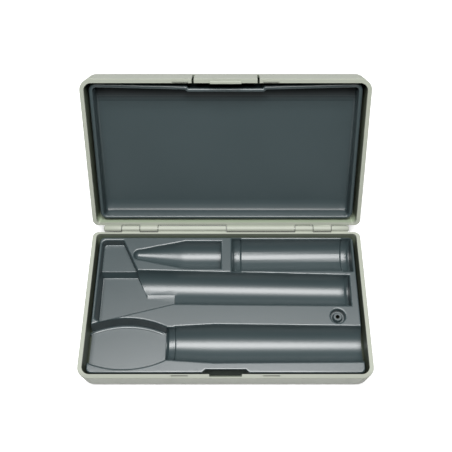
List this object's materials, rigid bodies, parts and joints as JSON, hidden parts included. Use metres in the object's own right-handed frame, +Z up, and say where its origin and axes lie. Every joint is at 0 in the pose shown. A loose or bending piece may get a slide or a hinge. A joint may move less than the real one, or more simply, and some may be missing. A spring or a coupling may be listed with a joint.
{
  "type": "hinged instrument carry case",
  "caption": "Flat hinged hard case with a formed liner of pockets for a diagnostic instrument set, a lined lid and a sprung front catch.",
  "frame": {"origin": "centre of the base's underside, with the case lying on its base and the lid open", "axes": "+X along the case, to the right as seen from the catch side; +Y towards the hinge; +Z up"},
  "size_m": [0.236, 0.2267, 0.1371],
  "materials": {
    "shell": "fine-grained sage grey moulding",
    "base_liner": "satin slate grey formed sheet",
    "lid_liner": "flocked dark slate formed sheet",
    "pad": "foam adhesive pad",
    "pin": "drawn steel wire"
  },
  "bodies": {
    "base": {"base_shell": "shell", "base_liner": "base_liner", "base_liner_pads": "pad", "hinge_pin_left": "pin", "hinge_pin_right": "pin"},
    "lid": {"lid_shell": "shell", "lid_liner": "lid_liner", "lid_liner_pads": "pad"},
    "latch": {"latch_tongue": "shell"}
  },
  "joints": [
    {"name": "lid_hinge", "type": "hinge", "parent": "base", "child": "lid", "pos_m": [0, 0.0691, 0.02415], "axis": [1, 0, 0], "range_deg": [0, 123]},
    {"name": "latch_flex", "type": "hinge", "parent": "lid", "child": "latch", "pos_m": [0, 0.15541, 0.12466], "axis": [1, 0, 0], "range_deg": [0, 5], "stiffness_Nm_per_rad": 0.3}
  ]
}
